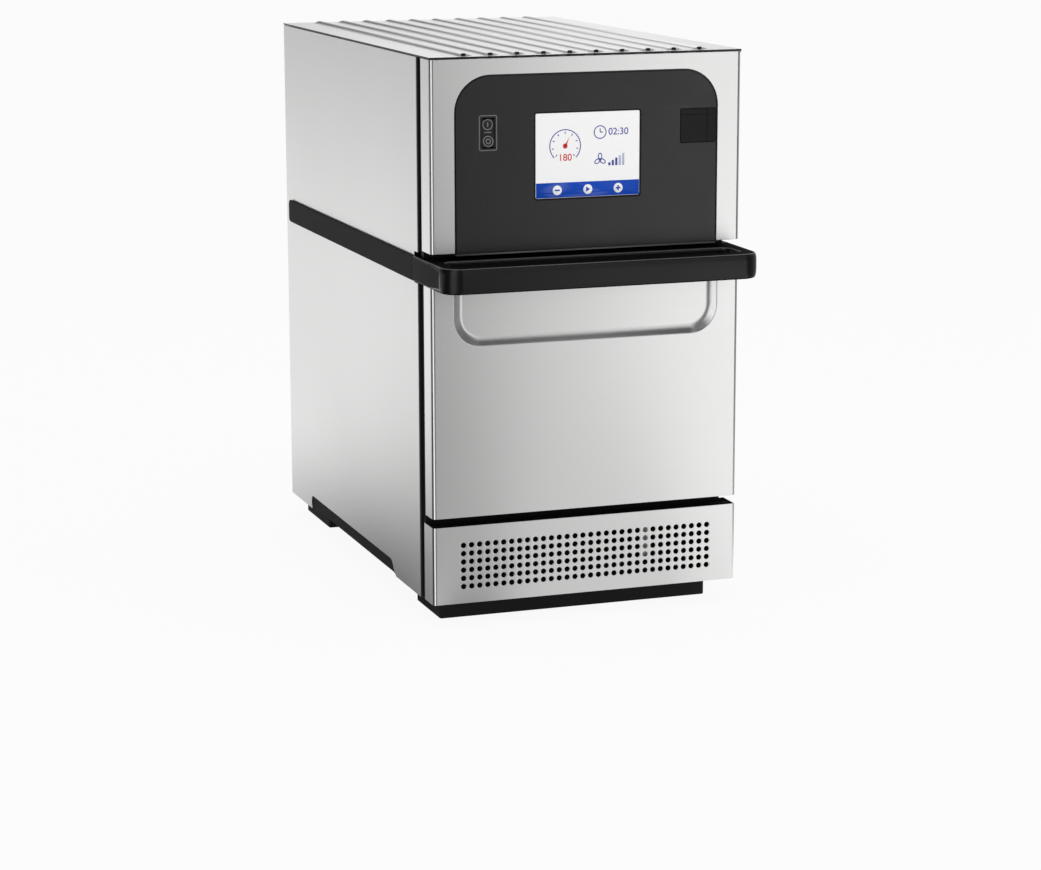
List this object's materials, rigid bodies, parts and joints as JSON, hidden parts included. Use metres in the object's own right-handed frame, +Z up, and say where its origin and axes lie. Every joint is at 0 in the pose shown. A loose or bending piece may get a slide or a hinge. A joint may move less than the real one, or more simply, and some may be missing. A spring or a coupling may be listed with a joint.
{
  "type": "speed oven",
  "caption": "Countertop speed oven with a drop-down door, a full-width handle, a touchscreen fascia, a perforated lower grille and a ribbed lid on two foot rails.",
  "frame": {"origin": "centre of the whole oven's plan, handle included, on the surface that its foot rails stand on", "axes": "+X to the right seen from the front, +Y from the door to the back, +Z up"},
  "size_m": [0.362, 0.653, 0.6228],
  "materials": {
    "stainless": "brushed",
    "zinc_sheet": "galvanised",
    "cavity_steel": "satin",
    "rack_wire": "drawn wire",
    "pin_steel": "turned",
    "catch_steel": "matte",
    "black_steel": "satin powder coat",
    "black_moulding": "satin",
    "black_panel": "satin",
    "black_gloss": "gloss",
    "screen": "gloss",
    "socket": "satin",
    "seal_rubber": "matte",
    "door_core": "matte",
    "glass_wool": "fibrous",
    "cook_plate": "dark non-stick",
    "heater": "oxidised",
    "motor": "satin",
    "converter": "matte",
    "waveguide": "passivated",
    "magnetron": "satin",
    "transformer": "varnished",
    "capacitor": "satin",
    "circuit_board": "solder mask",
    "filter": "matte"
  },
  "bodies": {
    "cabinet": {"base_pan": "zinc_sheet", "front_foot_rail": "black_moulding", "rear_foot_rail": "black_moulding", "left_side_panel": "stainless", "right_side_panel": "stainless", "left_trim_strip": "black_moulding", "right_trim_strip": "black_moulding", "top_panel": "stainless", "rear_panel": "zinc_sheet", "cable_gland": "black_moulding", "front_frame": "black_steel", "oven_cavity": "cavity_steel", "impinger_plate": "cavity_steel", "fan_guard": "cavity_steel", "left_insulation": "glass_wool", "right_insulation": "glass_wool", "blower_housing": "zinc_sheet", "heater_element": "heater", "fan_motor": "motor", "air_duct": "zinc_sheet", "catalytic_converter": "converter", "exhaust_duct": "zinc_sheet", "waveguide": "waveguide", "magnetron": "magnetron", "hv_transformer": "transformer", "hv_capacitor": "capacitor", "cooling_fan_housing": "black_moulding", "electronics_tray": "zinc_sheet", "power_board": "circuit_board", "control_board": "circuit_board", "upper_fascia": "stainless", "control_panel": "black_panel", "touchscreen": "screen", "switch_housing": "black_panel", "usb_cover_strip": "black_panel", "usb_socket": "socket", "left_hinge_bracket": "zinc_sheet", "right_hinge_bracket": "zinc_sheet", "left_hinge_pin": "pin_steel", "right_hinge_pin": "pin_steel", "left_interlock_switch": "black_panel", "right_interlock_switch": "black_panel"},
    "door": {"door_outer_skin": "stainless", "door_core": "door_core", "door_inner_plate": "cavity_steel", "door_seal": "seal_rubber", "door_handle": "black_moulding", "left_hinge_arm": "pin_steel", "right_hinge_arm": "pin_steel", "left_door_latch": "pin_steel", "right_door_latch": "pin_steel"},
    "convection_fan": {"convection_fan": "zinc_sheet"},
    "cooling_fan": {"cooling_fan_rotor": "black_moulding"},
    "rack": {"oven_rack": "rack_wire"},
    "plate": {"cook_plate": "cook_plate"},
    "grille": {"grille_panel": "stainless", "air_filter": "filter", "grille_catch": "catch_steel"},
    "rocker": {"power_switch": "black_gloss"},
    "socket_flap": {"usb_cover": "black_panel"}
  },
  "joints": [
    {"name": "door_hinge", "type": "hinge", "parent": "cabinet", "child": "door", "pos_m": [0, -0.2535, 0.135], "axis": [1, 0, 0], "range_deg": [0, 90]},
    {"name": "convection_fan_spin", "type": "hinge", "parent": "cabinet", "child": "convection_fan", "pos_m": [0, 0.0963, 0.25], "axis": [0, 1, 0], "continuous": true},
    {"name": "cooling_fan_spin", "type": "hinge", "parent": "cabinet", "child": "cooling_fan", "pos_m": [-0.072, -0.22, 0.0812], "axis": [0, 1, 0], "continuous": true},
    {"name": "rack_lift", "type": "slide", "parent": "cabinet", "child": "rack", "axis": [0, 0, 1], "range_m": [0, 0.03]},
    {"name": "plate_lift", "type": "slide", "parent": "rack", "child": "plate", "axis": [0, 0, 1], "range_m": [0, 0.08]},
    {"name": "grille_pull", "type": "slide", "parent": "cabinet", "child": "grille", "axis": [0, -1, 0], "range_m": [0, 0.08]},
    {"name": "power_rocker", "type": "hinge", "parent": "cabinet", "child": "rocker", "pos_m": [-0.1132, -0.264, 0.5392], "axis": [1, 0, 0], "range_deg": [0, 10]},
    {"name": "socket_flap_hinge", "type": "hinge", "parent": "cabinet", "child": "socket_flap", "pos_m": [0.1383, -0.2685, 0.5392], "axis": [0, 0, 1], "range_deg": [0, 100]}
  ]
}
